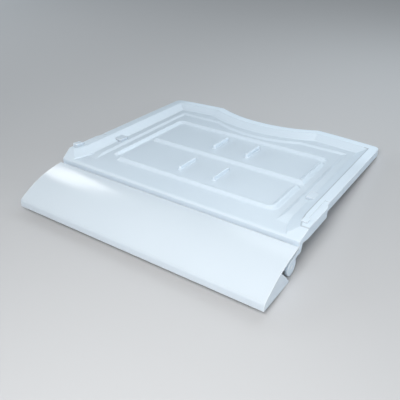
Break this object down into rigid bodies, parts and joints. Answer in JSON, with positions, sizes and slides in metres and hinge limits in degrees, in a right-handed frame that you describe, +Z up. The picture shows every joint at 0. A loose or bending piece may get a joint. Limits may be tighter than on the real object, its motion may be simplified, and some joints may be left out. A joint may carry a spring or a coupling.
{
  "type": "refrigerator shelf",
  "caption": "Moulded refrigerator shelf: a shallow tray with a raised rim, a notched back edge, raised beads and ribs, and a hinged front flap.",
  "frame": {"origin": "middle of the bounding box in X and Y, at the level of the lowest edge", "axes": "+X to the right and +Y to the back as seen from the flap's side, +Z up, square to the tray floor"},
  "size_m": [0.4766, 0.4794, 0.0718],
  "materials": {
    "shelf_plastic": "satin, slightly bluish white moulding",
    "flap_plastic": "glossy white moulding"
  },
  "bodies": {
    "shelf_body": {"shelf": "shelf_plastic"},
    "flap_body": {"flap": "flap_plastic"}
  },
  "joints": [
    {"name": "flap_hinge", "type": "hinge", "parent": "shelf_body", "child": "flap_body", "pos_m": [0, -0.15642, 0.0206], "axis": [1, 0, 0], "range_deg": [0, 70]}
  ]
}
